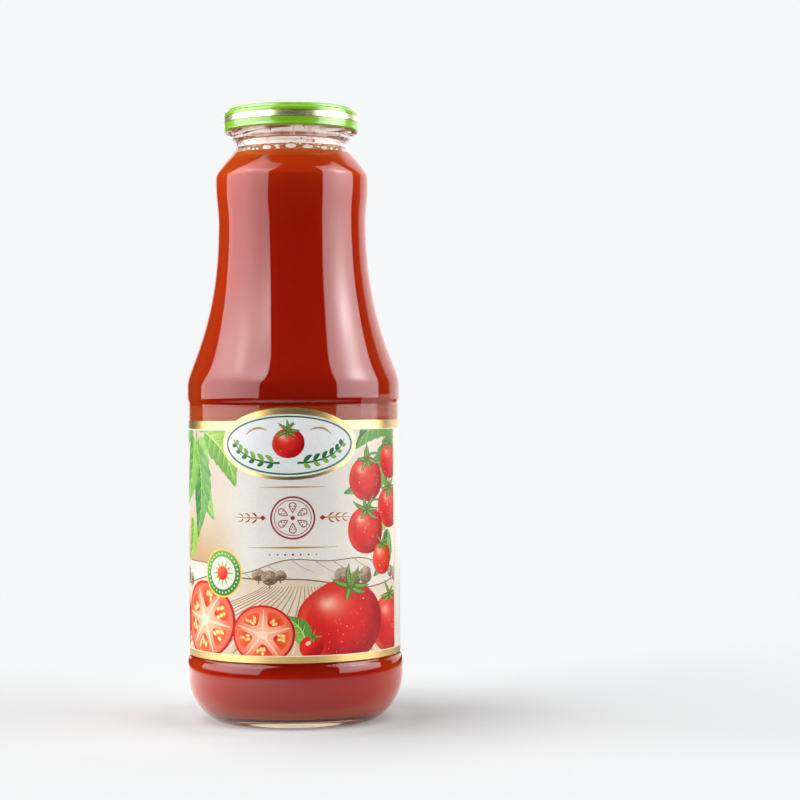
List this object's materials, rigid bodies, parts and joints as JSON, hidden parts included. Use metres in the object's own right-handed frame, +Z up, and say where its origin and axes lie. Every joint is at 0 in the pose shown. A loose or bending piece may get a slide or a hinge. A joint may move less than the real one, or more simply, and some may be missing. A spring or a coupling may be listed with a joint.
{
  "type": "tomato juice bottle",
  "caption": "Tall glass juice bottle with a long sloping shoulder, filled with tomato juice, closed by a green lug cap and wrapped in a printed film label.",
  "frame": {"origin": "centre of the foot ring, on the surface that the bottle stands on", "axes": "+Z up the bottle's axis; the middle of the label's front faces -Y"},
  "size_m": [0.0894, 0.0894, 0.2524],
  "materials": {
    "glass": "clear polished bottle glass",
    "juice": "opaque red tomato juice, wet where it touches the glass",
    "foam": "ring of clear bubbles on the juice",
    "cap": "gloss lacquered steel, light green with a gold line round the skirt",
    "label": "glossy printed film: cream ground, gold lines, leaves and tomatoes; clear above the print"
  },
  "bodies": {
    "root": {"glass_bottle": "glass", "juice": "juice", "foam": "foam", "cap": "cap", "label": "label"}
  },
  "joints": []
}
